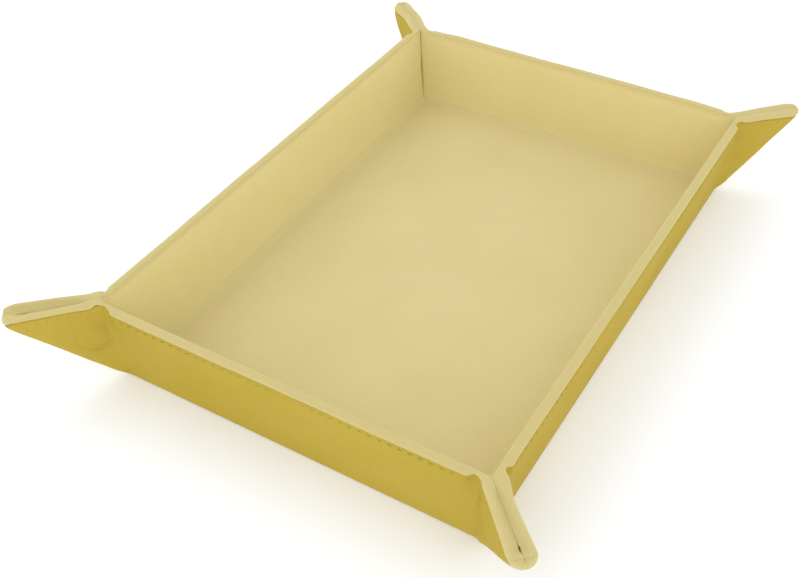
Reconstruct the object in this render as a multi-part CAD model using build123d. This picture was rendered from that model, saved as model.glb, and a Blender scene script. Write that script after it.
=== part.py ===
from build123d import *
import os
from math import atan, atan2, cos, degrees, radians, sin, sqrt, tan

# A folding dice tray: one rectangular sheet of leatherette, stiffener boards and velvet that
# folds up on four base creases. The soft corner squares pinch outwards into double ears,
# and a pair of hidden disc magnets holds each ear shut.
#
# Frame: millimetres, origin at the centre of the underside, +X along the short walls,
# +Y along the long walls, +Z up. Every fold turns on the inner, velvet face of the sheet.

# ---- Driving dimensions ----
BASE_WIDTH = 147.0  # crease to crease along X
BASE_LENGTH = 217.0  # crease to crease along Y
WALL_RISE = 33.6  # from a base crease to the edge of the sheet, up the wall
LEAN = 8.0  # degrees that a raised wall leans out from upright

LINING = 1.1  # velvet with its backing
BOARD = 2.0  # fibreboard stiffener
COVER = 0.9  # leatherette skin
EAR_PAD = 1.6  # soft filler in the corners, in place of the board

FOLD_GAP = 0.15  # clearance on each side of every crease
EAR_FACE_GAP = 0.1  # clearance between each closed ear half and the plane between the two
BOARD_SETBACK = 1.5  # from a base crease to the edge of a board
BOARD_END_SETBACK = 2.0  # from a wall's end to the end of its board
RIM_LIP = 1.0  # the lining wraps over the top edge and makes the rim

MAGNET_DIAMETER = 12.0
MAGNET_THICKNESS = 1.5
MAGNET_POCKET_GAP = 0.05  # clearance all round the disc
MAGNET_ALONG = 22.7  # from the base corner, up the crease between wall and ear
MAGNET_ACROSS = 8.0  # out from that crease

STITCH_DROP = 2.0  # from the lower edge of the rim to the row of stitches
THREAD_WIDTH = 0.6
THREAD_DEPTH = 0.3
THREAD_END_GAP = 1.0  # the thread stops short of the ends of its panel
EAR_TIP_RADIUS = 2.0

# ---- Worked out from them ----
LINING_FACE = LINING  # depth, below the velvet face, where the lining ends
BOARD_FACE = LINING + BOARD
SHEET = LINING + BOARD + COVER
PAD_FACE = LINING + EAR_PAD
EAR_SHEET = LINING + EAR_PAD + COVER

RAISED = radians(90.0 - LEAN)  # angle of a raised wall from the flat
EAR_SLANT = atan(cos(RAISED))  # angle of the wall-to-ear crease from the wall's own upright
EAR_HALF_ANGLE = radians(45.0) - EAR_SLANT  # from that crease to the diagonal of the corner
RIM_UNDERSIDE = WALL_RISE - RIM_LIP


def ear_fold():
    """The angle that an ear half turns out of its wall's plane to lie in the corner's diagonal plane."""
    # In the wall's axes (x along it, y up it, z out of the velvet), the normal of the diagonal plane
    # has these parts along the ear half's own width and along the velvet normal.
    along_width = cos(EAR_SLANT) + sin(EAR_SLANT) * cos(RAISED)
    along_normal = sin(RAISED)
    return atan2(along_width, along_normal)


EAR_FOLD = ear_fold()


# ---- Flat panels ----
# A panel is drawn flat, with its crease on the X axis, its velvet face at Z = 0, and the wall
# rising along +Y. Depths are measured down from the velvet face.


def layer(outline, near, far):
    """One flat layer of the sheet with the given outline, between two depths."""
    face = make_face(Polyline(*outline, close=True))
    return Pos(0, 0, -far) * extrude(face, amount=far - near)


def rectangle_outline(left, right, low, high):
    return [(left, low), (right, low), (right, high), (left, high)]


def crease_setback(depth):
    """How far a layer stays back from a wall-to-ear crease, so that the closed fold has room."""
    return FOLD_GAP + depth * tan(EAR_FOLD / 2)


def crease_x(half_length, height):
    """Where the wall-to-ear crease at the wall's +X end is, at a height up the wall."""
    return half_length + height * tan(EAR_SLANT)


def wall_outline(half_length, depth, low, high):
    """A wall layer between its two slanted ear creases."""
    setback = crease_setback(depth) / cos(EAR_SLANT)
    low_x = crease_x(half_length, low) - setback
    high_x = crease_x(half_length, high) - setback
    return [(-low_x, low), (low_x, low), (high_x, high), (-high_x, high)]


def ear_side_x(half_length, depth, height):
    """The ear half's edge beside the wall."""
    return crease_x(half_length, height) + crease_setback(depth) / cos(EAR_SLANT)


def ear_diagonal_x(half_length, height):
    """The ear half's edge on the diagonal of the corner."""
    return half_length + height - FOLD_GAP * sqrt(2)


def ear_outline(half_length, depth, high):
    """An ear layer: the triangle between the wall crease, the diagonal and the sheet's edge."""
    setback = crease_setback(depth) / cos(EAR_SLANT)
    point_height = (setback + FOLD_GAP * sqrt(2)) / (1 - tan(EAR_SLANT))
    return [
        (ear_side_x(half_length, depth, point_height), point_height),
        (ear_diagonal_x(half_length, high), high),
        (ear_side_x(half_length, depth, high), high),
    ]


def ear_lip_outline(half_length, depth):
    """The strip of lining that wraps over the ear's top edge."""
    return [
        (ear_side_x(half_length, depth, RIM_UNDERSIDE), RIM_UNDERSIDE),
        (ear_diagonal_x(half_length, RIM_UNDERSIDE), RIM_UNDERSIDE),
        (ear_diagonal_x(half_length, WALL_RISE), WALL_RISE),
        (ear_side_x(half_length, depth, WALL_RISE), WALL_RISE),
    ]


def round_tip(solid, half_length):
    """Round off the sharp outer corner of an ear layer."""
    tip = Vector(half_length + WALL_RISE, WALL_RISE, 0)
    upright = solid.edges().filter_by(Axis.Z)
    nearest = upright.sort_by(lambda edge: (edge.center() - tip).length)[0]
    return fillet(nearest, EAR_TIP_RADIUS)


def stitch_row(left, right, sheet_depth):
    """The thread of the rim's stitching: a strip let into the outer face of the cover."""
    middle = RIM_UNDERSIDE - STITCH_DROP
    outline = rectangle_outline(left, right, middle - THREAD_WIDTH / 2, middle + THREAD_WIDTH / 2)
    return layer(outline, sheet_depth - THREAD_DEPTH, sheet_depth)


# ---- Sub-parts ----


def base_parts():
    """The floor of the tray, lying on the table."""
    half_x = BASE_WIDTH / 2 - FOLD_GAP
    half_y = BASE_LENGTH / 2 - FOLD_GAP
    board_x = BASE_WIDTH / 2 - BOARD_SETBACK
    board_y = BASE_LENGTH / 2 - BOARD_SETBACK
    skin = rectangle_outline(-half_x, half_x, -half_y, half_y)
    stiffener = rectangle_outline(-board_x, board_x, -board_y, board_y)
    flat_parts = {
        "base_lining": layer(skin, 0, LINING_FACE),
        "base_board": layer(stiffener, LINING_FACE, BOARD_FACE),
        "base_cover": layer(skin, BOARD_FACE, SHEET),
    }
    return {name: Pos(0, 0, SHEET) * solid for name, solid in flat_parts.items()}


def wall_parts(half_length):
    """One wall, drawn flat."""
    lining = layer(wall_outline(half_length, LINING_FACE, FOLD_GAP, WALL_RISE), 0, LINING_FACE)
    lip = layer(wall_outline(half_length, SHEET, RIM_UNDERSIDE, WALL_RISE), LINING_FACE, SHEET)
    board_x = half_length - BOARD_END_SETBACK
    board = rectangle_outline(-board_x, board_x, BOARD_SETBACK, RIM_UNDERSIDE)
    cover = layer(wall_outline(half_length, SHEET, FOLD_GAP, RIM_UNDERSIDE), BOARD_FACE, SHEET)
    thread = stitch_row(-half_length + THREAD_END_GAP, half_length - THREAD_END_GAP, SHEET)
    return {
        "lining": lining + lip,
        "board": layer(board, LINING_FACE, BOARD_FACE),
        "cover": cover - thread,
        "thread": thread,
    }


def magnet_disc(half_length, radius, near, far):
    """A disc in the middle of the ear half that stands at the wall's +X end."""
    centre_x = half_length + MAGNET_ALONG * sin(EAR_SLANT) + MAGNET_ACROSS * cos(EAR_SLANT)
    centre_y = MAGNET_ALONG * cos(EAR_SLANT) - MAGNET_ACROSS * sin(EAR_SLANT)
    disc = Cylinder(radius, far - near, align=(Align.CENTER, Align.CENTER, Align.MIN))
    return Pos(centre_x, centre_y, -far) * disc


def ear_parts(half_length):
    """The ear half at the wall's +X end, drawn flat, in line with the wall."""
    radius = MAGNET_DIAMETER / 2
    pocket = magnet_disc(half_length, radius + MAGNET_POCKET_GAP, LINING_FACE, PAD_FACE)
    magnet = magnet_disc(half_length, radius, LINING_FACE, LINING_FACE + MAGNET_THICKNESS)

    lining_outline = ear_outline(half_length, LINING_FACE, WALL_RISE)
    lining = layer(lining_outline, EAR_FACE_GAP, LINING_FACE)
    lip = layer(ear_lip_outline(half_length, EAR_SHEET), LINING_FACE, EAR_SHEET)
    pad = layer(ear_outline(half_length, PAD_FACE, RIM_UNDERSIDE), LINING_FACE, PAD_FACE)
    cover = layer(ear_outline(half_length, EAR_SHEET, RIM_UNDERSIDE), PAD_FACE, EAR_SHEET)

    stitch_height = RIM_UNDERSIDE - STITCH_DROP
    thread_start = ear_side_x(half_length, EAR_SHEET, stitch_height) + THREAD_END_GAP
    thread_end = ear_diagonal_x(half_length, stitch_height) - 2 * THREAD_END_GAP
    thread = stitch_row(thread_start, thread_end, EAR_SHEET)
    return {
        "lining": round_tip(lining + lip, half_length),
        "pad": pad - pocket,
        "magnet": magnet,
        "cover": cover - thread,
        "thread": thread,
    }


# ---- Folding up and placing ----


def close_ear(solid, half_length):
    """Fold a flat ear half out of its wall's plane, about the slanted crease."""
    up_crease = (sin(EAR_SLANT), cos(EAR_SLANT), 0)
    return solid.rotate(Axis((half_length, 0, 0), up_crease), degrees(EAR_FOLD))


# Each wall: its turn about Z from the back wall's place, half its length, and the corners
# at its +X and -X ends as they are in the flat drawing.
WALLS = {
    "back": (0, BASE_WIDTH / 2, "back_right", "back_left"),
    "front": (180, BASE_WIDTH / 2, "front_left", "front_right"),
    "right": (-90, BASE_LENGTH / 2, "front_right", "back_right"),
    "left": (90, BASE_LENGTH / 2, "back_left", "front_left"),
}


def tray_parts():
    parts = base_parts()
    for wall, (turn, half_length, right_corner, left_corner) in WALLS.items():
        reach = BASE_LENGTH / 2 if wall in ("back", "front") else BASE_WIDTH / 2
        place = Rot(0, 0, turn) * Pos(0, reach, SHEET) * Rot(degrees(RAISED), 0, 0)
        for piece, solid in wall_parts(half_length).items():
            parts[f"{wall}_wall_{piece}"] = place * solid
        for piece, solid in ear_parts(half_length).items():
            folded = close_ear(solid, half_length)
            parts[f"{right_corner}_ear_{wall}_{piece}"] = place * folded
            parts[f"{left_corner}_ear_{wall}_{piece}"] = place * folded.mirror(Plane.YZ)
    return parts


os.makedirs("parts", exist_ok=True)
for node, shape in tray_parts().items():
    export_step(shape, f"parts/{node}.step")
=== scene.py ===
import math

import bmesh
import bpy
import numpy as np
from mathutils import Matrix, Vector


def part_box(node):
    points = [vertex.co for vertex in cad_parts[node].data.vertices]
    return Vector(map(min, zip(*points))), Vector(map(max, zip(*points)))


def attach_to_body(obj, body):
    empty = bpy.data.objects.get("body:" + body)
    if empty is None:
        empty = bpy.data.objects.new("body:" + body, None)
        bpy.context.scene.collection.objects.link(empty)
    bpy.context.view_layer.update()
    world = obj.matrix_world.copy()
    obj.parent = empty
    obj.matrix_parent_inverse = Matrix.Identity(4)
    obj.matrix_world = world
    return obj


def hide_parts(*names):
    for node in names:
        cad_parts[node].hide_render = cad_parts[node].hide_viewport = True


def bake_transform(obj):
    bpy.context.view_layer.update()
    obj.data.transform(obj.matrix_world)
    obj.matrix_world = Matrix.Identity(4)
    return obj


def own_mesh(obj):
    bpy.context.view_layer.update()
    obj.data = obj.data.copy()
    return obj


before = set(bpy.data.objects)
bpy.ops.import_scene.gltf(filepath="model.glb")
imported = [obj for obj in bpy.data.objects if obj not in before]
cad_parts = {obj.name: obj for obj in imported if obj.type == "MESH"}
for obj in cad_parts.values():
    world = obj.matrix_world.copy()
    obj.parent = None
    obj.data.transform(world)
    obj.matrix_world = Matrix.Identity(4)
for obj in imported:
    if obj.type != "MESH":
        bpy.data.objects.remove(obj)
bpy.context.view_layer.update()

# ---- Sizes, in millimetres, from the frame and from the real tray ----
MM = 0.001
LEAN = math.radians(8.0)
RAISED = math.radians(82.0)
FOLD_GAP = 0.15
LINING_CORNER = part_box("base_lining")[1]  # the base lining's far upper corner
HALF = {"x": LINING_CORNER.x / MM + FOLD_GAP, "y": LINING_CORNER.y / MM + FOLD_GAP}  # centre to crease
SHEET = LINING_CORNER.z / MM  # thickness of leatherette, board and velvet together
RISE = 33.6  # up the wall, from the crease to the edge of the sheet
LINING = 1.1  # thicknesses of the velvet, of the leatherette and of an ear half
COVER = 0.9
EAR_SHEET = 3.6
ROOT2 = math.sqrt(2.0)
EDGE_OUT = SHEET * math.tan(RAISED / 2)  # how far the sharp outer bottom edge is outside the crease
EDGE_RADIUS = 1.4
LEATHER_TOP = 33.0  # height up the wall where the leatherette ends under the rolled rim
RIM_TOP = 33.93  # the same for the highest line of the velvet rim
RIM_HEIGHT = 36.0  # above the table, where the two rolls of an ear's rim are compared
PANEL_HEIGHT = 20.0  # above the table, where a wall panel's length is taken
# The far wall's rim stands this much higher than the others. Its leatherette doesn't follow, which
# leaves a hairline slit under the rim on the outer side.
BACK_RIM_LIFT = 0.45
EAR_LIP = 1.25  # how much further down the velvet comes on the ears
STRIP = 4.8  # half width of the bending strip at a base crease
TUCK = 2.6  # how far the outer skin is drawn in at the top of the valley between wall and ear
CORNER_REACH = 7.5  # how far the bending corner skin runs on along the wall from the valley
CORNER_SPAN = ROOT2 * EAR_SHEET + CORNER_REACH  # and from the mitre of the walls' outer faces
STITCH_PITCH = 3.7
STITCH_LINE = 31.3  # height up the wall of the row of stitches
SWING_START, SWING_LENGTH = 18.5, 14.0  # an ear's end is turned beyond its magnet only, out from the crease
CREASE_SLACK = 0.5  # the velvet in a crease stops this far short of the wall's ends

# The velvet turns up from the base to a wall in a cove: places on its arc from the crease to where it
# meets the panel, as the distance along the panel, the rise off it, and where they are in upright axes.
COVE = 3.0  # radius
COVE_TURN = 41.0  # degrees: half the angle that a wall is raised by
COVE_ANGLES = np.radians(np.linspace(COVE_TURN, 0.0, 5))
COVE_AWAY = COVE * (math.tan(math.radians(COVE_TURN)) - np.sin(COVE_ANGLES))
COVE_UP = COVE * (1 - np.cos(COVE_ANGLES))
COVE_HEIGHT = COVE_AWAY * math.sin(RAISED) + COVE_UP * math.cos(RAISED)
COVE_INWARD = COVE_UP * math.sin(RAISED) - COVE_AWAY * math.cos(RAISED) + COVE_HEIGHT * math.tan(LEAN)

CORNERS = {
    "front_left": (-1, -1),
    "front_right": (1, -1),
    "back_right": (1, 1),
    "back_left": (-1, 1),
}
# Nose: how far the folded edge stands out beyond the diagonal crease at four heights.
# Top: height of the rim at the corner, along the ear, near its end and at the tip.
# Spread: how far the two rolls of the rim lean apart. Closed: the share of the slit between them that
# is pressed shut. Drop: how far the velvet runs down the tip. Ride: how far the leatherette rides up.
# Swing: how far the ear's end is turned towards its left or right wall's side. Puff: how far that
# side's flank stands out beside the valley. Tip: how far out the folded edge rounds over at the top.
EARS = {
    "front_left": dict(
        nose=(8.6, 8.9, 7.8, 7.4), top=(38.8, 39.4, 39.4, 38.6), tip=41.3,
        spread=1.0, closed=0.0, drop=1.6, ride=0.72, swing=0.0, puff=0.0,
    ),
    "front_right": dict(
        nose=(8.6, 8.0, 6.7, 5.2), top=(37.4, 37.6, 37.6, 36.9), tip=40.7,
        spread=0.35, closed=0.1, drop=2.6, ride=0.6, swing=0.0, puff=1.3,
    ),
    "back_right": dict(
        nose=(8.6, 6.6, 2.8, 0.8), top=(37.3, 37.6, 37.4, 36.6), tip=36.1,
        spread=0.2, closed=0.85, drop=-0.9, ride=0.0, swing=0.0, puff=0.0,
    ),
    "back_left": dict(
        nose=(8.6, 7.4, 5.0, 2.4), top=(37.3, 37.5, 37.4, 36.8), tip=36.9,
        spread=0.2, closed=0.75, drop=1.0, ride=0.2, swing=2.0, puff=0.0,
    ),
}
ROUNDNESS = 0.95  # 1 would make the ear's end a true ellipse in plan
NOSE_HEIGHTS = (0.0, 12.0, 24.0, 34.0)
DIAGONAL_SLOPE = 35.49 / 31.6  # outward run of the diagonal crease for each millimetre of height


def smooth(x):
    x = np.clip(x, 0.0, 1.0)
    return x * x * (3 - 2 * x)


def edge_line(z):
    """How far the wall's outer face is outside the crease at a height above the table.
    The bottom edge is rounded."""
    line = EDGE_OUT + z * math.tan(LEAN)
    centre = EDGE_OUT - EDGE_RADIUS * math.tan(RAISED / 2)
    low = np.clip(z, 0.0, EDGE_RADIUS)
    arc = centre + np.sqrt(np.maximum(EDGE_RADIUS**2 - (EDGE_RADIUS - low) ** 2, 0))
    return np.where(z < EDGE_RADIUS * (1 - math.cos(RAISED)), arc, line)


def bezier(a, b, c, s):
    s = s[..., None]
    return (1 - s) ** 2 * a + 2 * s * (1 - s) * b + s**2 * c


def pair(u, n):
    return np.stack(np.broadcast_arrays(u, n), axis=-1).astype(float)


class Corner:
    """One corner's shape, in its diagonal plane's axes: u outward, n sideways from that plane, z up.
    The parameter t runs 0-1 along the wall, 1-2 round the valley, 2-3 along the ear, 3-4 round its nose."""

    def __init__(self, name):
        self.name = name
        self.sx, self.sy = CORNERS[name]
        self.origin = np.array([self.sx * HALF["x"], self.sy * HALF["y"]])
        self.out = np.array([self.sx, self.sy]) / ROOT2
        self.shape = EARS[name]

    def side(self, wall):
        """The sideways direction of the half that joins this wall."""
        if wall in ("front", "back"):
            return np.array([-self.sx, self.sy]) / ROOT2
        return np.array([self.sx, -self.sy]) / ROOT2

    def world(self, wall, un, z):
        u, n, z = un[..., :1], un[..., 1:], np.asarray(z, float)[..., None]
        xy = self.origin + u * self.out + n * self.side(wall)
        left_right = self.name.split("_")[1]
        swing = self.shape["swing"] * smooth((u - SWING_START) / SWING_LENGTH)
        beside_valley = np.exp(-(((u - 9.5) / 5.0) ** 2))
        puff = self.shape["puff"] * beside_valley * smooth((n - 1.5) / 2.0) * smooth((z - 12.0) / 16.0)
        xy = xy + (swing + puff * (wall == left_right)) * self.side(left_right)
        return np.concatenate([xy, z], axis=-1)

    def diagonal(self, z):
        return DIAGONAL_SLOPE * (z - SHEET)

    def half_thickness(self, u, z):
        """Half the closed ear's thickness: it runs out to the bare corner of the tray at the table."""
        return 1.2 + (EAR_SHEET - 1.2) * smooth((z - 0.5) / 5.0) + 1.1 * smooth((u - 8.0) / 24.0)

    def nose(self, z):
        """How far out the folded edge is at a height."""
        bulge = np.interp(z, NOSE_HEIGHTS, self.shape["nose"])
        floor = 4.6 + 0.1 * np.maximum(z, 0)
        rounding = (EDGE_OUT + z * math.tan(LEAN) - edge_line(z)) * 1.2
        out = np.maximum(self.diagonal(z) + bulge, floor) - rounding
        # the edge rounds over towards the tip
        tip = self.shape["tip"] + 0.45
        out = -0.7 * np.log(np.exp(-out / 0.7) + np.exp(-tip / 0.7))
        over = np.clip((z - (self.shape["top"][3] - 2.5)) / 2.5, 0, 1)
        return out - 0.6 * over**2

    def outer(self, t, z, softest=None):
        """Points of the outer skin. softest is how far each way the bend in the valley may reach."""
        t, z = np.broadcast_arrays(np.asarray(t, float), np.asarray(z, float))
        edge = edge_line(z)
        half = self.half_thickness(0.0, z)
        valley = pair(ROOT2 * edge - half, half)
        along = np.array([-1.0, 1.0]) / ROOT2
        nose = self.nose(z)
        start_u = np.minimum(np.maximum(self.diagonal(z), valley[..., 0] + 1.0), nose - 0.6)
        start = pair(start_u, self.half_thickness(start_u, z))
        reach = start - valley
        length = np.linalg.norm(reach, axis=-1, keepdims=True)
        if softest is None:
            softest = 3.4 - 2.5 * smooth((z - 19.0) / 13.0)
        softest = softest[..., None]
        turn = np.minimum(softest, 0.7 * length)
        a = valley + along * np.minimum(softest, turn + 1.0)
        b = valley + reach / length * turn
        first = pair(ROOT2 * edge, 0.0) + along * CORNER_SPAN
        s = t - np.floor(np.minimum(t, 3.999))
        s3 = s[..., None]
        wall = first + (a - first) * s3
        arc = bezier(a, valley, b, s)
        flank = b + (start - b) * s3
        # in plan the ear ends in half an ellipse, which starts before the diagonal where it has to
        depth = np.maximum(nose - start_u, 1.2 * start[..., 1])
        into = np.clip((flank[..., 0] - nose + depth) / depth, 0, 1)
        narrowed = flank[..., 1] * (1 - into ** (2 / ROUNDNESS)) ** (ROUNDNESS / 2)
        flank = pair(flank[..., 0], narrowed)
        first_angle = np.arcsin(np.clip((start_u - nose + depth) / depth, 0, 1) ** (1 / ROUNDNESS))
        angle = first_angle + s * (math.pi / 2 - first_angle)
        end = pair(
            nose - depth + depth * np.sin(angle) ** ROUNDNESS,
            start[..., 1] * np.clip(np.cos(angle), 0, 1) ** ROUNDNESS,
        )
        kind = np.floor(np.minimum(t, 3.999)).astype(int)[..., None]
        path = np.where(kind == 0, wall, np.where(kind == 1, arc, np.where(kind == 2, flank, end)))
        past_board = smooth((t - 0.12) / 0.88)
        drawn_in = TUCK * smooth((z - 24.0) / 12.0) * past_board * (1 - smooth((t - 2.0) / 0.4))
        return path - pair(drawn_in, 0.0)

    def velvet_end(self, z):
        """How far out the velvet face runs before it turns round the tip."""
        return np.minimum(self.diagonal(z), self.nose(z) - 0.9)

    def gap(self, u, z):
        """Half the space between the two velvet faces: it opens into a small hole just before the tip."""
        from_hole = u - self.velvet_end(RIM_HEIGHT) + 2.2
        widest = 0.40 * (1 - self.shape["closed"])
        return 0.03 + widest * np.exp(-((from_hole / 1.2) ** 2)) * smooth((z - 30.0) / 3.0)

    def inner(self, t, z):
        """Points of the velvet face, for t up to 3."""
        t, z = np.broadcast_arrays(np.asarray(t, float), np.asarray(z, float))
        z = np.maximum(z, SHEET)
        cove = np.interp(z - SHEET, COVE_HEIGHT, COVE_INWARD)
        crease_u = ROOT2 * ((z - SHEET) * math.tan(LEAN) - cove)
        crease = pair(crease_u, self.gap(crease_u, z))
        reach = CORNER_SPAN - edge_line(z)
        first = pair((crease_u - ROOT2 * reach) / 2, (crease_u + ROOT2 * reach) / 2)
        end_u = np.maximum(self.velvet_end(z), crease_u + 0.05)
        width = end_u - crease_u
        turn = np.minimum(0.45 + 1.3 * np.exp(-(((z - 17.0) / 6.0) ** 2)), 0.45 * width)[..., None]
        along = np.array([-1.0, 1.0]) / ROOT2
        a = pair(crease_u, 0.0) + along * np.maximum(1.6 * turn, 0.3)
        b = crease + np.array([1.0, 0.0]) * turn
        s = t - np.floor(np.minimum(t, 2.999))
        s3 = s[..., None]
        wall = first + (a - first) * s3
        arc = bezier(a, crease, b, s)
        flank_u = b[..., 0] + (end_u - b[..., 0]) * s
        flank = pair(flank_u, self.gap(flank_u, z))
        kind = np.floor(np.minimum(t, 2.999)).astype(int)[..., None]
        return np.where(kind == 0, wall, np.where(kind == 1, arc, flank))

    def ear_share(self, t):
        return smooth((np.asarray(t, float) - 0.2) / 1.75)

    def top_height(self, t):
        """Height of the rim's top edge, by column."""
        t = np.asarray(t, float)
        knots = (2.0, 2.35, 2.85, 4.0)
        return np.interp(t, knots, self.shape["top"])

    def height(self, t, y, f):
        """Height above the table of a point y up the panel and a share f through its thickness."""
        t, y, f = np.broadcast_arrays(np.asarray(t, float), np.asarray(y, float), np.asarray(f, float))
        on_wall = SHEET + y * math.sin(RAISED) - f * SHEET * math.cos(RAISED)
        on_ear = SHEET + y * (self.top_height(t) - SHEET) / RISE
        share = self.ear_share(t)
        return on_wall * (1 - share) + on_ear * share

    def leather_top(self, t):
        """Where the leatherette ends under the rim: it rides up at the valley and drops away at the tip."""
        t = np.asarray(t, float)
        from_valley = np.where(t < 1, (1 - t) * CORNER_REACH, np.maximum(t - 2, 0) * 31.0)
        ride_up = self.shape["ride"] * np.exp(-((from_valley / 2.3) ** 2))
        on_ear = EAR_LIP * smooth((from_valley + 0.5) / 4.5) * (t > 1.5)
        return LEATHER_TOP + ride_up - on_ear - self.shape["drop"] * smooth((t - 2.93) / 1.07)

    def filled(self, t):
        """1 where the two rolls of the rim touch, by the corner and at the tip, and 0 where they part."""
        u = self.inner(t, np.full_like(np.asarray(t, float), RIM_HEIGHT))[..., 0]
        by_corner = 1 - smooth((u - 8.0) / 7.0)
        by_tip = smooth((u - self.velvet_end(RIM_HEIGHT) + 2.4) / 2.3)
        return np.maximum(np.maximum(by_corner, by_tip), self.shape["closed"])

    def point(self, wall, t, z, f):
        """A point a share f of the way from the velvet face to the outer skin, for t up to 3."""
        t, z, f = np.broadcast_arrays(np.asarray(t, float), np.asarray(z, float), np.asarray(f, float))
        softest = 1.0 + 1.1 * smooth((z - self.top_height(t) + 1.0) / 0.8)
        un = self.inner(t, z) * (1 - f)[..., None] + self.outer(t, z, softest) * f[..., None]
        return self.world(wall, un, z)


# ---- Mesh building ----


def make_object(name, points, faces, material, painted_shade=None):
    """The amount of painted shade for the velvet at each point: darker on the rims, the ear tips and in the
    creases.
    """
    mesh = bpy.data.meshes.new(name)
    mesh.from_pydata((np.asarray(points, float) * MM).tolist(), [], faces)
    if painted_shade is not None:
        mesh.attributes.new("painted_shade", "FLOAT", "POINT").data.foreach_set("value", np.ravel(painted_shade))
    mesh.validate()
    mesh.shade_smooth()
    obj = bpy.data.objects.new(name, mesh)
    bpy.context.scene.collection.objects.link(obj)
    obj.data.materials.append(material)
    return obj


def finish_mesh(obj, sharp_angle=50.0):
    """Welds doubled points, points every face outward and marks the hard edges."""
    bm = bmesh.new()
    bm.from_mesh(obj.data)
    bmesh.ops.remove_doubles(bm, verts=bm.verts, dist=2e-6)
    bmesh.ops.dissolve_degenerate(bm, dist=1e-6, edges=bm.edges)
    bmesh.ops.recalc_face_normals(bm, faces=bm.faces)
    limit = math.radians(sharp_angle)
    for edge in bm.edges:
        if len(edge.link_faces) == 2 and edge.calc_face_angle(0.0) > limit:
            edge.smooth = False
    bm.to_mesh(obj.data)
    bm.free()
    return obj


def grid_faces(rows, columns, offset=0, flip=False):
    faces = []
    for i in range(rows - 1):
        for j in range(columns - 1):
            a = offset + i * columns + j
            quad = (a, a + 1, a + columns + 1, a + columns)
            faces.append(quad[::-1] if flip else quad)
    return faces


def shell(name, outer, inner, material, painted_shade=None):
    """A closed skin between two grids of points of the same shape.
    The amount of painted shade is a value for each point of outer, and is used for inner too."""
    rows, columns = outer.shape[:2]
    count = rows * columns
    faces = grid_faces(rows, columns) + grid_faces(rows, columns, count, True)
    rim = (
        [(0, j) for j in range(columns)]
        + [(i, columns - 1) for i in range(1, rows)]
        + [(rows - 1, j) for j in range(columns - 2, -1, -1)]
        + [(i, 0) for i in range(rows - 2, 0, -1)]
    )
    loop = [i * columns + j for i, j in rim]
    for k, a in enumerate(loop):
        b = loop[(k + 1) % len(loop)]
        faces.append((a, a + count, b + count, b))
    points = np.concatenate([outer.reshape(-1, 3), inner.reshape(-1, 3)])
    if painted_shade is not None:
        painted_shade = np.tile(np.broadcast_to(painted_shade, (rows, columns)).ravel(), 2)
    return finish_mesh(make_object(name, points, faces, material, painted_shade))


def sweep(name, rings, material, painted_shade):
    """A closed solid through a row of closed sections: rings has the shape (sections, points, 3)."""
    count, size = rings.shape[:2]
    faces = []
    for i in range(count - 1):
        for j in range(size):
            k = (j + 1) % size
            faces.append((i * size + j, i * size + k, (i + 1) * size + k, (i + 1) * size + j))
    faces.append(tuple(range(size))[::-1])
    faces.append(tuple((count - 1) * size + j for j in range(size)))
    painted_shade = np.broadcast_to(painted_shade, rings.shape[:2]).astype(float)
    return finish_mesh(make_object(name, rings.reshape(-1, 3), faces, material, painted_shade))


# ---- Walls ----

WALLS = {  # directions outward and along, and the phase of the wall's soft waves
    "back": ((0, 1), (1, 0), 0.4),
    "front": ((0, -1), (1, 0), 1.3),
    "right": ((1, 0), (0, 1), 2.9),
    "left": ((-1, 0), (0, 1), 4.4),
}


class Wall:
    """One wall's place: x along it, e outward from its base crease, z up."""

    def __init__(self, name):
        outward, along, self.phase = WALLS[name]
        self.name = name
        self.outward, self.along = np.array(outward, float), np.array(along, float)
        self.half = HALF["y"] if name in ("left", "right") else HALF["x"]
        self.reach = HALF["x"] if name in ("left", "right") else HALF["y"]

    def place(self, x, e, z):
        x, e, z = np.broadcast_arrays(np.asarray(x, float), np.asarray(e, float), np.asarray(z, float))
        xy = self.outward * (self.reach + e)[..., None] + self.along * x[..., None]
        return np.concatenate([xy, z[..., None]], axis=-1)

    def end(self, z):
        """Half length of the straight part at a height."""
        return self.half - CORNER_SPAN + edge_line(z)

    def panel(self, s, y, d):
        """s runs -1 to 1 along the straight part, y up the panel, d down from the velvet face."""
        s, y, d = np.broadcast_arrays(np.asarray(s, float), np.asarray(y, float), np.asarray(d, float))
        e = y * math.cos(RAISED) + d * math.sin(RAISED)
        z = SHEET + y * math.sin(RAISED) - d * math.cos(RAISED)
        return self.place(s * self.end(z), e, z)


def stitch_groove(y):
    return np.exp(-(((y - STITCH_LINE) / 0.55) ** 2))


def wall_relief(wall, x, y):
    """How far the leatherette stands out from its flat place, by the boards, the stitches and handling."""
    fade = smooth((wall.half - 8.0 - np.abs(x)) / 12.0)
    low = smooth((y - STRIP) / 6.0)
    wave = 0.10 * np.sin(x / 17.0 + wall.phase) + 0.06 * np.sin(x / 7.3 + 2.0 * wall.phase)
    ridge = 0.26 * np.exp(-(((y - 24.3 - 0.8 * np.sin(x / 41.0)) / 2.0) ** 2))
    hollow = -0.20 * np.exp(-(((y - 15.0) / 6.0) ** 2))
    pucker = np.cos(2 * math.pi * x / STITCH_PITCH)
    near = np.exp(-(((y - STITCH_LINE) / 1.3) ** 2))
    swell = 0.10 * near * pucker
    return fade * low * (wave * (1 - near) + ridge + hollow + swell) - 0.16 * stitch_groove(y)


COVER_ROWS = np.array(
    [STRIP, 6.5, 9, 12, 15, 17.5, 20, 21.5, 23, 24.3, 25.6, 27, 28.2, 29.2, 30.0, 30.5, 30.85, 31.1]
    + [STITCH_LINE, 31.5, 31.75, 32.1, 32.4, 32.65, 32.82, 32.94, LEATHER_TOP]
)


def top_curl(y, top):
    """The folded top edge of the leatherette turns in under the rim."""
    return 0.85 * np.clip((y - (top - 0.75)) / 0.75, 0, 1) ** 1.7


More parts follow.
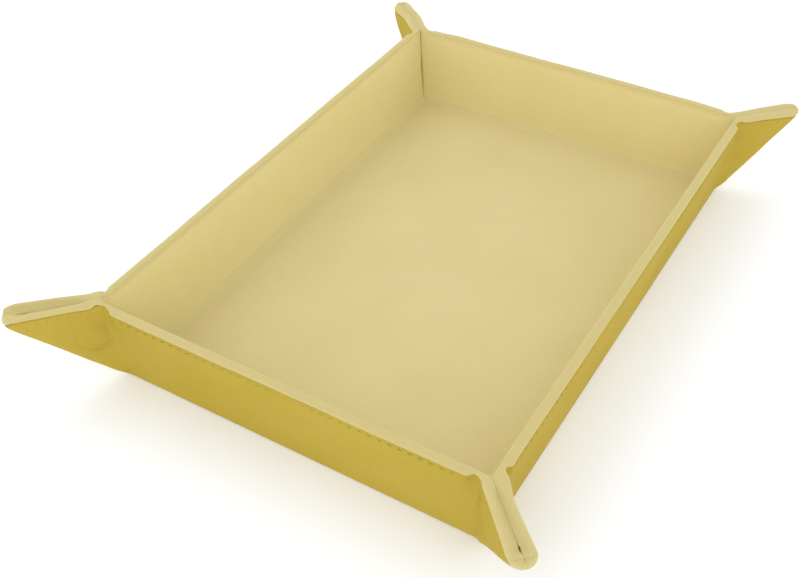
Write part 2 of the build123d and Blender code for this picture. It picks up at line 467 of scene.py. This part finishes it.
def build_wall_cover(wall, material):
    count = int(wall.half * 2 / (STITCH_PITCH / 6))
    s = np.linspace(-1, 1, count)[None, :]
    y = COVER_ROWS[:, None]
    x = s * wall.end(np.array(PANEL_HEIGHT))
    d = SHEET + wall_relief(wall, x, y) - top_curl(y, LEATHER_TOP)
    outer = wall.panel(s, y, d)
    inner = wall.panel(s, y, np.full_like(d, SHEET - COVER))
    return shell(f"{wall.name}_wall_leatherette", outer, inner, material)


FACE, VEE, ROLL, BACK = 0, 1, 2, 3  # parts of the lining's section
RIM_ROWS = (  # (part, y and depth on a wall, y and depth on an ear), round the lining and its rolled rim
    [(FACE, y, 0, y, 0) for y in COVE_HEIGHT / math.sin(RAISED)]
    + [(FACE, 4, 0, 4, 0), (FACE, 8, 0, 8, 0), (FACE, 14, 0, 14, 0), (FACE, 20, 0, 20, 0)]
    + [(FACE, 25, 0, 25, 0), (FACE, 28.5, 0, 28.0, 0)]
    + [(VEE, 30.4, 0, 32.5, 0), (VEE, 30.95, 0.06, 32.57, 0.12), (VEE, STITCH_LINE, 0.15, 32.66, 0.32)]
    + [(VEE, 31.6, 0.06, 32.8, 0.55), (VEE, 32.1, 0.0, 32.98, 0.80), (VEE, 32.75, 0.03, 33.2, 1.08)]
    + [(VEE, 33.2, 0.14, 33.43, 1.36), (VEE, 33.57, 0.42, 33.65, 1.66), (VEE, 33.8, 0.9, 33.81, 1.95)]
    + [(VEE, 33.9, 1.5, 33.9, 2.26), (ROLL, RIM_TOP, 2.2, RIM_TOP, 2.6), (ROLL, 33.86, 2.85, 33.87, 3.05)]
    + [(ROLL, 33.7, 3.35, 33.7, 3.50), (ROLL, 33.48, 3.66, 33.46, 3.83), (ROLL, 33.24, 3.76, 33.22, 3.98)]
    + [(ROLL, 33.08, 3.5, 33.08, 3.7), (ROLL, 33.0, 3.15, 33.0, 3.3), (ROLL, 32.95, 2.95, 32.95, 3.0)]
    + [(ROLL, 32.5, 2.95, 32.5, 3.0), (ROLL, 32.4, 1.2, 31.4, 1.6)]
    + [(BACK, 28, 1.1, 28, 1.1), (BACK, 20, 1.1, 20, 1.1), (BACK, 8, 1.1, 8, 1.1), (BACK, 0, 1.1, 0, 1.1)]
)
RIM = np.array(RIM_ROWS, float)
# how much painted shade the velvet gets on its rolled rim and in the vee beside it, which darkens the rim
# that the lamps light more than the base
ON_RIM = ((RIM[:, 0] == ROLL) | (RIM[:, 0] == VEE)) * smooth((RIM[:, 1] - 31.8) / 1.6)


def build_wall_lining(wall, material):
    count = int(wall.half * 2 / 2.2)
    s = np.linspace(-1, 1, count)[:, None]
    part, y, d = RIM[None, :, 0], RIM[None, :, 1], RIM[None, :, 2]
    x = s * wall.half
    fade = smooth((1 - np.abs(s)) * wall.half / 14.0)
    soft = 0.09 * np.sin(x / 13.0 + wall.phase) + 0.05 * np.sin(x / 5.1 + wall.phase * 3)
    soft = soft + (BACK_RIM_LIFT if wall.name == "back" else 0.0)
    y = y + fade * soft * smooth((y - 30.0) / 3.0)
    puff = -0.12 * np.sin(math.pi * np.clip(y / 28.0, 0, 1)) * (1 + 0.4 * np.sin(x / 23.0 + wall.phase))
    d = d + fade * puff * (part == FACE)
    cove = len(COVE_AWAY)
    y[:, :cove], d[:, :cove] = COVE_AWAY, -COVE_UP
    rings = wall.panel(s, y, d)
    return sweep(f"{wall.name}_wall_velvet", rings, material, ON_RIM)


def build_wall_strip(wall, material):
    """The skin that bends round the bottom edge, from the underside to the foot of the wall."""
    centre = EDGE_OUT - EDGE_RADIUS * math.tan(RAISED / 2)
    under = [(e, 0.0) for e in np.linspace(-STRIP, centre, 7)[:-1]]
    bend = [
        (centre + EDGE_RADIUS * math.sin(a), EDGE_RADIUS * (1 - math.cos(a)))
        for a in np.linspace(0, RAISED, 9)
    ]
    top_z = SHEET + STRIP * math.sin(RAISED) - SHEET * math.cos(RAISED)
    face = [(float(edge_line(np.array(z))), z) for z in np.linspace(bend[-1][1], top_z, 8)[1:]]
    profile = np.array(under + bend + face)
    tangent = np.gradient(profile, axis=0)
    tangent /= np.linalg.norm(tangent, axis=1, keepdims=True)
    inward = np.stack([-tangent[:, 1], tangent[:, 0]], axis=1)
    inward[: len(under)] = (0, 1)
    back = profile + inward * COVER
    s = np.linspace(-1, 1, int(wall.half * 2 / 3))[None, :]
    ends = wall.end(np.maximum(profile[:, 1], 0.0))[:, None]
    outer = wall.place(s * ends, profile[:, :1], profile[:, 1:])
    inner = wall.place(s * ends, back[:, :1], back[:, 1:])
    return shell(f"{wall.name}_edge_leatherette", outer, inner, material)


def build_crease_velvet(wall, material):
    """The velvet that bends in the cove at the foot of the wall."""
    inner_part = COVE_ANGLES > math.radians(5.0)
    away, up = COVE_AWAY[inner_part], COVE_UP[inner_part]
    proud = np.where(np.arange(len(away)) < len(away) - 1, 0.04, -0.04)
    s = np.linspace(-1, 1, int(wall.half * 2 / 3))[None, :]
    length = wall.half - CREASE_SLACK

    def section(rise):
        on_base = wall.place(s * length, -away[::-1, None], (SHEET + up + rise)[::-1, None])
        on_wall = wall.panel(s, away[1:, None], (-up - rise)[1:, None])
        to_end = s * (length - wall.end(on_wall[..., 2]))
        return np.concatenate([on_base, on_wall + to_end[..., None] * np.array([*wall.along, 0.0])])

    outer = section(proud)
    # painted shade: the velvet is darker along the middle of the crease
    crease_shade = 0.5 * np.sin(math.pi * np.linspace(0, 1, len(outer)))[:, None]
    return shell(f"{wall.name}_crease_velvet", outer, section(proud - 0.7), material, crease_shade)


# ---- Base ----


def base_stations(half):
    """Places across the base from crease to crease, close together in the coves, and the rise at each."""
    middle = np.arange(4.0 - half, half - 4.0, 3.0)
    places = np.concatenate([COVE_AWAY - half, middle, (half - COVE_AWAY)[::-1]])
    return places, np.concatenate([COVE_UP, np.zeros(len(middle)), COVE_UP[::-1]])


def build_base_velvet(material):
    y, y_rise = (v[:, None] for v in base_stations(HALF["y"]))
    x, x_rise = (v[None, :] for v in base_stations(HALF["x"]))
    inside = smooth((HALF["y"] - np.abs(y)) / 8.0) * smooth((HALF["x"] - np.abs(x)) / 8.0)
    puff = 0.10 * inside * (1 + 0.5 * np.sin(x / 19.0 + 1.0) * np.sin(y / 27.0))
    outer = np.stack(np.broadcast_arrays(x, y, SHEET + puff + np.maximum(x_rise, y_rise)), axis=-1)
    inner = outer * (1, 1, 0) + (0, 0, SHEET - LINING)
    return shell("base_velvet", outer, inner, material)


ROUND_THE_BASE = {  # each corner, with the wall before it and the wall after it
    "back_right": ("right", "back"),
    "back_left": ("back", "left"),
    "front_left": ("left", "front"),
    "front_right": ("front", "right"),
}


def strip_end(wall, point):
    """The point of the underside's outline where the wall's strip ends, beside a point of its corner."""
    inner = point[:2] - wall.outward * (point[:2] @ wall.outward - (wall.reach - STRIP))
    return np.array([*inner, 0.0])


def build_base_leatherette(material):
    """The underside, with a tab at each corner that reaches the rounded outer corner.
    The skins of the ears run 0.2 mm into the tabs' upper edges."""
    t = np.concatenate([np.linspace(0, 1, 4), np.linspace(1.15, 3, 10), np.linspace(3.1, 4, 9)])
    outline = []
    for name, (before, after) in ROUND_THE_BASE.items():
        corner = Corner(name)
        edge = corner.world(before, corner.outer(t, 0.0), np.zeros_like(t))
        back = corner.world(after, corner.outer(t, 0.0), np.zeros_like(t))[::-1][1:]
        outline += [strip_end(Wall(before), edge[0]), *edge, *back, strip_end(Wall(after), back[-1])]
    outline = np.array(outline)
    count = len(outline)
    top = outline + np.array([0, 0, COVER])
    faces = [tuple(range(count))[::-1], tuple(range(count, 2 * count))]
    faces += [(i, (i + 1) % count, count + (i + 1) % count, count + i) for i in range(count)]
    return finish_mesh(make_object("base_leatherette", np.concatenate([outline, top]), faces, material))


# ---- Ears ----

MAGNET_SPOT = np.array([12.3, 24.7])  # middle of the magnet: out from the crease, and above the table
# how strongly the magnet shows in each ear
MAGNET_LIFT = {"front_left": 1.0, "front_right": 0.5, "back_right": 0.45, "back_left": 0.4}


def ear_relief(corner, t, un, z, y):
    """How far the corner's skin stands out: the magnet's bump with the soft wrinkles beside it,
    and the stitched groove."""
    u = un[..., 0]
    du, dz = u - MAGNET_SPOT[0], z - MAGNET_SPOT[1]
    r = np.hypot(du, dz)
    lift = MAGNET_LIFT[corner.name]
    flank = smooth((t - 1.3) / 0.6) * smooth((3.02 - t) / 0.25)
    bump = 1.5 * lift * (1 - smooth((r - 4.8) / 2.0))
    angle = np.arctan2(dz, du)
    crescent = -1.2 * lift * np.exp(-(((r - 7.2) / 0.9) ** 2)) * smooth(np.cos(angle + 2.6) * 1.3)
    fold = 0.40 * lift * np.exp(-(((r - 9.2) / 1.3) ** 2)) * smooth(np.cos(angle + 2.5) * 1.4)
    drape = 0.30 * lift * np.exp(-(((dz - 0.55 * (u - 24.0)) / 2.2) ** 2)) * smooth((u - 18.0) / 5.0)
    groove = -0.16 * stitch_groove(y)
    near = np.exp(-(((y - STITCH_LINE) / 1.3) ** 2))
    pucker = 0.09 * near * np.cos(2 * math.pi * u / STITCH_PITCH) * flank
    return flank * (bump + crescent + fold + drape) + groove + pucker


LOW_ROWS = np.array([0, 0.03, 0.07, 0.12, 0.17, 0.22, 0.3, 0.42, 0.55, 0.7, 0.85])
HIGH_ROWS = np.array(
    [5.5, 7, 9, 11, 13, 14.5, 16, 17.5, 19, 20.5, 22, 23.5, 25, 26.5, 27.8, 28.8, 29.6, 30.2, 30.6]
    + [30.9, 31.1, STITCH_LINE, 31.5, 31.75, 32.1, 32.4, 32.65, 32.82, 32.94, LEATHER_TOP]
)


def cover_heights(corner, t):
    """Heights above the table and up the panel for each row and column of a corner skin."""
    t = t[None, :]
    low, high = LOW_ROWS[:, None], HIGH_ROWS[:, None]
    top_shift = corner.leather_top(t) - LEATHER_TOP
    y_high = high + top_shift * smooth((high - 19.0) / (LEATHER_TOP - 19.0))
    z_high = corner.height(t, y_high, 1.0)
    z_low = low * z_high[:1]
    y_low = np.broadcast_to(np.zeros_like(low), z_low.shape)
    return np.concatenate([z_low, z_high]), np.concatenate([y_low, y_high])


EAR_COLUMNS = np.concatenate(
    [
        np.linspace(0, 1, 9)[:-1],
        np.linspace(1, 2, 11)[:-1],
        np.linspace(2, 2.86, 26)[:-1],
        np.linspace(2.86, 3, 7),
    ]
)


def build_ear_cover(corner, wall_name, material):
    t = EAR_COLUMNS
    z, y = cover_heights(corner, t)
    t = np.broadcast_to(t[None, :], z.shape)
    skin = corner.world(wall_name, corner.outer(t, z), z)
    velvet = corner.world(wall_name, corner.inner(t, z), np.maximum(z, SHEET))
    through = velvet - skin
    through /= np.linalg.norm(through, axis=-1, keepdims=True)
    top = corner.leather_top(t)
    relief = ear_relief(corner, t, corner.outer(t, z), z, y) - top_curl(y, top)
    outer = skin - through * relief[..., None]
    inner = skin + through * COVER
    return shell(f"{corner.name}_ear_{wall_name}_leatherette", outer, inner, material)


def build_ear_nose(corner, wall_name, material):
    t = np.linspace(3, 4, 15)
    z, y = cover_heights(corner, t)
    t = np.broadcast_to(t[None, :], z.shape)
    path = corner.outer(t, z)
    start = corner.outer(np.full_like(t, 3.0), z)
    centre = pair(start[..., 0], 0.0)
    shrink = np.maximum(1 - COVER / np.maximum(np.linalg.norm(path - centre, axis=-1), 1.2), 0.25)
    back = centre + (path - centre) * shrink[..., None]
    curl = 1 - top_curl(y, corner.leather_top(t)) / 4.6
    front = centre + (path - centre) * curl[..., None]
    outer = corner.world(wall_name, front, z)
    inner = corner.world(wall_name, back, z)
    return shell(f"{corner.name}_ear_{wall_name}_nose", outer, inner, material)


def rim_rings(corner, t, head_only=False):
    """The lining's section for each column: the point y up the panel, the share through it and the height."""
    rows = RIM[(RIM[:, 0] == VEE) | (RIM[:, 0] == ROLL)] if head_only else RIM
    part, wall_y, wall_d, ear_y, ear_d = (rows[None, :, k] for k in range(5))
    column = t[:, None]
    vee, roll = part == VEE, part == ROLL
    to_roll = np.clip(1 - ear_d / 2.1, 0, 1)
    spread = corner.shape["spread"] * smooth((column - 2.0) / 0.6)
    filled = np.where(column > 3, 1.0, corner.filled(np.minimum(column, 3.0)))
    open_y = ear_y - 0.6 * spread * to_roll**2 * vee
    closed_y = RIM_TOP - 0.22 * np.clip(4.2 - column, 0, 1) * to_roll**2
    lean = 0.8 * spread * smooth(ear_d / 0.9) * (1 - smooth((ear_d - 1.7) / 2.2)) * (vee | roll)
    y = np.where(vee, open_y + (closed_y - open_y) * filled, ear_y)
    d = ear_d + lean * (1 - filled)
    share = corner.ear_share(column)
    y = wall_y * (1 - share) + y * share
    d = wall_d * (1 - share) + d * share
    lip_shift = corner.leather_top(column) - LEATHER_TOP
    y = y + lip_shift * np.clip((RIM_TOP - y) / (RIM_TOP - LEATHER_TOP), 0, 1) * roll
    f = d / SHEET
    return np.broadcast_to(column, y.shape), f, corner.height(column, y, f)


def build_ear_velvet(corner, wall_name, material):
    column, f, z = rim_rings(corner, EAR_COLUMNS)
    rings = corner.point(wall_name, column, np.maximum(z, SHEET + 0.05), f)
    # painted shade on the rim's rolls and the slit between them, fading in from the wall's rim
    share = corner.ear_share(EAR_COLUMNS)[:, None]
    painted_shade = ON_RIM * (1 - share) + ((RIM[:, 0] == VEE) | (RIM[:, 0] == ROLL)) * share
    return sweep(f"{corner.name}_ear_{wall_name}_velvet", rings, material, painted_shade)


def build_ear_tip(corner, wall_name, material):
    column, f, z = rim_rings(corner, np.linspace(3, 4, 15), head_only=True)
    outer = corner.outer(column, z)
    start_u = corner.inner(np.full_like(column, 3.0), z)[..., 0]
    last_u = np.maximum(corner.nose(z) - 2.4, start_u + 0.1)
    inner = pair(start_u + (last_u - start_u) * (column - 3.0), 0.0)
    un = inner * (1 - f)[..., None] + outer * f[..., None]
    rings = corner.world(wall_name, un, z)
    # the whole tip takes the full painted shade
    return sweep(f"{corner.name}_ear_{wall_name}_tip", rings, material, 1.0)


# ---- Stitches ----

STITCH_HALF_LENGTH, STITCH_HALF_WIDTH, STITCH_HALF_HEIGHT = 1.25, 0.24, 0.14
STITCH_PROUD, STITCH_DIP = 0.10, 0.26  # height of its middle, and how far lower its ends are
STITCH_SUNK = 0.15  # the row lies this deep in the groove
STITCH_HEIGHT = 34.0  # above the table, where the length of a wall's row is taken


def stitch_row(name, centres, directions, normals, material):
    """A row of short stitches, each a rounded length of thread that dips into the leatherette at its ends."""
    points, faces = [], []
    rings, sides = 7, 8
    for centre, direction, normal in zip(centres, directions, normals):
        across = np.cross(normal, direction)
        base = len(points)
        for i in range(rings):
            s = -1 + 2 * i / (rings - 1)
            swell = math.sqrt(max(1 - abs(s) ** 3, 0.05))
            middle = centre + direction * (s * STITCH_HALF_LENGTH)
            middle = middle + normal * (STITCH_PROUD - STITCH_DIP * s * s)
            for j in range(sides):
                a = 2 * math.pi * j / sides
                wide = across * (STITCH_HALF_WIDTH * swell * math.cos(a))
                points.append(middle + wide + normal * (STITCH_HALF_HEIGHT * swell * math.sin(a)))
        for i in range(rings - 1):
            for j in range(sides):
                k = (j + 1) % sides
                a, b = base + i * sides, base + (i + 1) * sides
                faces.append((a + j, a + k, b + k, b + j))
        faces.append(tuple(base + j for j in range(sides))[::-1])
        faces.append(tuple(base + (rings - 1) * sides + j for j in range(sides)))
    return finish_mesh(make_object(name, points, faces, material), 80.0)


def build_wall_stitches(wall, material):
    length = float(wall.end(np.array(STITCH_HEIGHT)))
    count = int(length * 2 / STITCH_PITCH) // 2 * 2
    x = (np.arange(count + 1) - count / 2) * STITCH_PITCH
    d = SHEET - STITCH_SUNK
    z = SHEET + STITCH_LINE * math.sin(RAISED) - d * math.cos(RAISED)
    e = STITCH_LINE * math.cos(RAISED) + d * math.sin(RAISED)
    centres = wall.place(x, e, z)
    normal = np.array([*(wall.outward * math.sin(RAISED)), -math.cos(RAISED)])
    along = np.array([*wall.along, 0.0])
    name = f"{wall.name}_wall_stitches"
    return stitch_row(name, centres, [along] * len(x), [normal] * len(x), material)


def build_ear_stitches(corner, wall_name, material):
    t = np.linspace(2.05, 2.9, 60)
    top_shift = (corner.leather_top(t) - LEATHER_TOP) * smooth((STITCH_LINE - 19.0) / (LEATHER_TOP - 19.0))
    z = corner.height(t, STITCH_LINE + top_shift, 1.0)
    path = corner.world(wall_name, corner.outer(t, z), z)
    run = np.concatenate([[0], np.cumsum(np.linalg.norm(np.diff(path, axis=0), axis=1))])
    count = int(run[-1] / STITCH_PITCH)
    at = (np.arange(count) + 0.5) * STITCH_PITCH + (run[-1] - count * STITCH_PITCH) / 2
    centres = np.stack([np.interp(at, run, path[:, k]) for k in range(3)], axis=1)
    ahead = np.stack([np.interp(at + 0.3, run, path[:, k]) for k in range(3)], axis=1)
    directions = ahead - centres
    directions /= np.linalg.norm(directions, axis=1, keepdims=True)
    side = np.array([*corner.side(wall_name), 0.0])
    normals = side - directions * (directions @ side)[:, None]
    normals /= np.linalg.norm(normals, axis=1, keepdims=True)
    centres = centres - normals * STITCH_SUNK
    return stitch_row(f"{corner.name}_ear_{wall_name}_stitches", centres, directions, normals, material)


# ---- Materials ----


def linear(r, g, b):
    """A screen colour, each part from 11 to 255, as the linear colour that a shader takes."""
    return (*(((c / 255 + 0.055) / 1.055) ** 2.4 for c in (r, g, b)), 1.0)


class Nodes:
    """A material under construction, with short ways to add and join its nodes."""

    def __init__(self, name):
        self.material = bpy.data.materials.new(name)
        self.material.use_nodes = True
        self.tree = self.material.node_tree
        self.shader = self.tree.nodes["Principled BSDF"]
        self.place = self.tree.nodes.new("ShaderNodeTexCoord").outputs["Object"]

    def add(self, kind, inputs=(), **settings):
        node = self.tree.nodes.new(kind)
        for key, value in settings.items():
            setattr(node, key, value)
        for key, value in dict(inputs).items():
            self.feed(node.inputs[key], value)
        return node

    def feed(self, socket, value):
        if isinstance(value, bpy.types.NodeSocket):
            self.tree.links.new(value, socket)
        else:
            socket.default_value = value

    def noise(self, scale, detail=3.0, roughness=0.55):
        inputs = {"Vector": self.place, "Scale": scale, "Detail": detail, "Roughness": roughness}
        return self.add("ShaderNodeTexNoise", inputs).outputs["Fac"]

    def between(self, value, low, high):
        """Maps 0.3 to 0.7, where most of a noise's values are, to a range."""
        inputs = {"Value": value, "From Min": 0.3, "From Max": 0.7, "To Min": low, "To Max": high}
        return self.add("ShaderNodeMapRange", inputs).outputs["Result"]

    def mix(self, factor, a, b):
        node = self.add("ShaderNodeMix", data_type="RGBA")
        self.feed(node.inputs["Factor"], factor)
        self.feed(node.inputs[6], a)
        self.feed(node.inputs[7], b)
        return node.outputs[2]

    def bump(self, height, strength, distance, normal=None):
        inputs = {"Height": height, "Strength": strength, "Distance": distance}
        if normal is not None:
            inputs["Normal"] = normal
        return self.add("ShaderNodeBump", inputs).outputs["Normal"]

    def use(self, **inputs):
        for key, value in inputs.items():
            self.feed(self.shader.inputs[key.replace("_", " ")], value)
        return self.material


def velvet_material(name, dark, light):
    n = Nodes(name)
    patches = n.between(n.noise(28.0, 4.0), 0.0, 1.0)
    nap = n.between(n.noise(1500.0, 2.0), 0.0, 1.0)
    soft = n.mix(patches, linear(*dark), linear(*light))
    # painted shade: the points' attribute darkens the velvet towards this tan on the rims, the ear tips and
    # in the creases
    shade_share = n.add("ShaderNodeAttribute", attribute_name="painted_shade").outputs["Fac"]
    soft = n.mix(shade_share, soft, linear(200, 186, 130))
    colour = n.mix(nap, n.mix(0.10, soft, linear(170, 148, 88)), soft)
    fibres = n.bump(n.noise(2600.0, 2.0, 0.7), 0.22, 0.0002)
    lay = n.bump(n.noise(160.0, 3.0), 0.10, 0.0006, fibres)
    return n.use(
        Base_Color=colour,
        Roughness=n.between(nap, 0.82, 0.95),
        Specular_IOR_Level=0.08,
        Subsurface_Weight=0.30,
        Subsurface_Radius=(1.0, 0.85, 0.45),
        Subsurface_Scale=0.0012,
        Sheen_Weight=0.03,
        Sheen_Roughness=0.5,
        Sheen_Tint=linear(250, 240, 205),
        Normal=lay,
    )


def leatherette_material():
    n = Nodes("mustard_leatherette")
    patches = n.between(n.noise(22.0, 4.0), 0.0, 1.0)
    pattern = {"Vector": n.place, "Scale": 1500.0, "Randomness": 0.9}
    cells = n.add("ShaderNodeTexVoronoi", pattern, feature="F1")
    grain = n.between(cells.outputs["Distance"], 1.0, 0.0)
    soft = n.mix(patches, linear(180, 157, 62), linear(186, 163, 70))
    colour = n.mix(grain, n.mix(0.07, soft, linear(122, 100, 28)), soft)
    pores = n.bump(grain, 0.22, 0.00012)
    creases = n.bump(n.noise(260.0, 4.0, 0.6), 0.10, 0.0005, pores)
    return n.use(
        Base_Color=colour,
        Roughness=n.between(n.noise(90.0), 0.50, 0.64),
        Specular_IOR_Level=0.06,
        IOR=1.2,
        Normal=creases,
    )


def thread_material():
    n = Nodes("waxed_thread")
    twist = n.add(
        "ShaderNodeTexWave",
        {"Vector": n.place, "Scale": 900.0, "Distortion": 1.5},
        bands_direction="DIAGONAL",
    ).outputs["Fac"]
    colour = n.mix(twist, linear(150, 126, 40), linear(172, 148, 54))
    return n.use(Base_Color=colour, Roughness=0.6, Normal=n.bump(twist, 0.4, 0.0001))


def board_material():
    n = Nodes("grey_fibreboard")
    fibre = n.noise(700.0, 5.0, 0.7)
    colour = n.mix(fibre, linear(120, 112, 98), linear(168, 158, 140))
    return n.use(Base_Color=colour, Roughness=0.9, Normal=n.bump(fibre, 0.3, 0.0002))


def magnet_material():
    n = Nodes("nickel_magnet")
    scuffs = n.noise(900.0, 4.0, 0.6)
    return n.use(
        Base_Color=n.mix(scuffs, linear(176, 174, 168), linear(205, 203, 198)),
        Metallic=1.0,
        Roughness=n.between(scuffs, 0.22, 0.42),
        Normal=n.bump(scuffs, 0.1, 0.0001),
    )


# painted light: the walls, their creases and the ears take a lighter copy of the velvet than the base, which
# lifts the shade on the walls' inner faces
BASE_VELVET = velvet_material("cream_velvet", (213, 198, 145), (217, 202, 151))
VELVET = velvet_material("cream_velvet_brushed_up", (219, 206, 148), (223, 210, 154))
LEATHERETTE, THREAD = leatherette_material(), thread_material()
BOARD, MAGNET = board_material(), magnet_material()

# ---- Putting the tray together ----


def attach(piece, slot, body, *nodes):
    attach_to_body(piece, body)
    if nodes:
        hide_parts(*nodes)
    return piece


def bend_at_base(piece):
    """Bakes the piece's transform into its points."""
    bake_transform(piece)
    return piece


def add_base():
    for wall in map(Wall, WALLS):
        bend_at_base(build_crease_velvet(wall, VELVET))
    velvet = attach(build_base_velvet(BASE_VELVET), "velvet", "base", "base_lining")
    leatherette = attach(build_base_leatherette(LEATHERETTE), "leatherette", "base", "base_cover")


def add_wall(wall):
    body = f"{wall.name}_wall"
    cover = attach(build_wall_cover(wall, LEATHERETTE), "leatherette", body, f"{body}_cover")
    velvet = attach(build_wall_lining(wall, VELVET), "velvet", body, f"{body}_lining")
    attach(build_wall_stitches(wall, THREAD), "thread", body, f"{body}_thread")
    strip = bend_at_base(build_wall_strip(wall, LEATHERETTE))
    straight = 2 * float(wall.end(np.array(PANEL_HEIGHT)))


def add_ear_half(corner, wall):
    wall_body, ear_body = f"{wall.name}_wall", f"{corner.name}_ear_{wall.name}_half"
    prefix = f"{corner.name}_ear_{wall.name}_"
    cover = build_ear_cover(corner, wall.name, LEATHERETTE)
    velvet = build_ear_velvet(corner, wall.name, VELVET)

    # both skins have their transforms baked into their points, and the parts that they stand for are hidden
    top_point = corner.world(wall.name, pair(ROOT2 * 30 * math.tan(LEAN), 0.0), SHEET + 30.0)
    for piece in (cover, velvet):
        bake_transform(piece)
    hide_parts(prefix + "cover", prefix + "pad")
    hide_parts(prefix + "lining")
    attach(build_ear_stitches(corner, wall.name, THREAD), "thread", ear_body, prefix + "thread")

    # what stands out beyond the diagonal crease, the nose's leatherette and the velvet tip, is attached to
    # the ear half, each with a mesh of its own
    nose = attach(build_ear_nose(corner, wall.name, LEATHERETTE), "leatherette", ear_body)
    tip = attach(build_ear_tip(corner, wall.name, VELVET), "velvet", ear_body)
    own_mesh(nose)
    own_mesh(tip)


for node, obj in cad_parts.items():
    chosen = MAGNET if node.endswith("_magnet") else BOARD if node.endswith("_board") else None
    if chosen:
        obj.data.materials.clear()
        obj.data.materials.append(chosen)

add_base()
for name in WALLS:
    add_wall(Wall(name))
for name in CORNERS:
    for wall_name in name.split("_"):
        add_ear_half(Corner(name), Wall(wall_name))

# ---- Floor, light and camera ----


def build_floor():
    n = Nodes("pale_floor")
    grain = n.noise(9.0, 3.0)
    material = n.use(
        Base_Color=n.mix(n.between(grain, 0.0, 1.0), linear(246, 249, 254), linear(248, 250, 255)),
        Roughness=0.9,
        Specular_IOR_Level=0.1,
        Emission_Color=(1.0, 1.0, 1.0, 1.0),
        Emission_Strength=0.08,
    )
    size, drop = 2500.0, -0.05  # just under the tray, so that the two never share a plane
    points = [(x * size, y * size, drop) for x, y in ((-1, -1), (1, -1), (1, 1), (-1, 1))]
    return make_object("floor", points, [(0, 1, 2, 3)], material)


build_floor()

# brighter towards the horizon, like a ring of large soft boxes round the table
HORIZON_LIGHT, ZENITH_LIGHT = 1.64, 0.66


def build_sky():
    world = bpy.data.worlds.new("soft_studio")
    bpy.context.scene.world = world
    world.use_nodes = True
    sky = world.node_tree
    background = sky.nodes["Background"]
    direction = sky.nodes.new("ShaderNodeTexCoord")
    split = sky.nodes.new("ShaderNodeSeparateXYZ")
    height = sky.nodes.new("ShaderNodeMapRange")
    height.inputs["To Min"].default_value = HORIZON_LIGHT
    height.inputs["To Max"].default_value = ZENITH_LIGHT
    sky.links.new(direction.outputs["Generated"], split.inputs[0])
    sky.links.new(split.outputs["Z"], height.inputs["Value"])
    sky.links.new(height.outputs["Result"], background.inputs["Strength"])
    background.inputs["Color"].default_value = (1.0, 0.997, 0.99, 1.0)


def add_light(name, location, target, size, power):
    data = bpy.data.lights.new(name, "AREA")
    data.shape = "SQUARE"
    data.size, data.energy = size, power
    light = bpy.data.objects.new(name, data)
    light.location = location
    light.rotation_euler = (Vector(target) - Vector(location)).to_track_quat("-Z", "Y").to_euler()
    bpy.context.scene.collection.objects.link(light)


def place_camera():
    """The photograph's camera, as fitted to the tray's straight edges."""
    data = bpy.data.cameras.new("photo_camera")
    camera = bpy.data.objects.new("photo_camera", data)
    bpy.context.scene.collection.objects.link(camera)
    bpy.context.scene.camera = camera
    data.lens, data.sensor_width = 48.153, 36.0
    data.shift_x, data.shift_y = 0.01144, 0.07353
    data.clip_start, data.clip_end = 0.01, 20.0
    eye = Vector((0.16203, -0.29971, 0.29155))
    looking_at = Vector((0.00328, -0.04968, 0.0))
    roll = Matrix.Rotation(math.radians(-1.602), 4, "Z")
    aim = (looking_at - eye).to_track_quat("-Z", "Y").to_matrix().to_4x4()
    camera.matrix_world = Matrix.Translation(eye) @ aim @ roll


build_sky()
add_light("key", (-0.62, 0.25, 0.95), (0, 0, 0), 0.8, 2.0)
add_light("fill", (0.50, -0.76, 0.85), (0, 0, 0), 0.9, 2.0)
place_camera()
bpy.context.scene.view_settings.view_transform = "Standard"
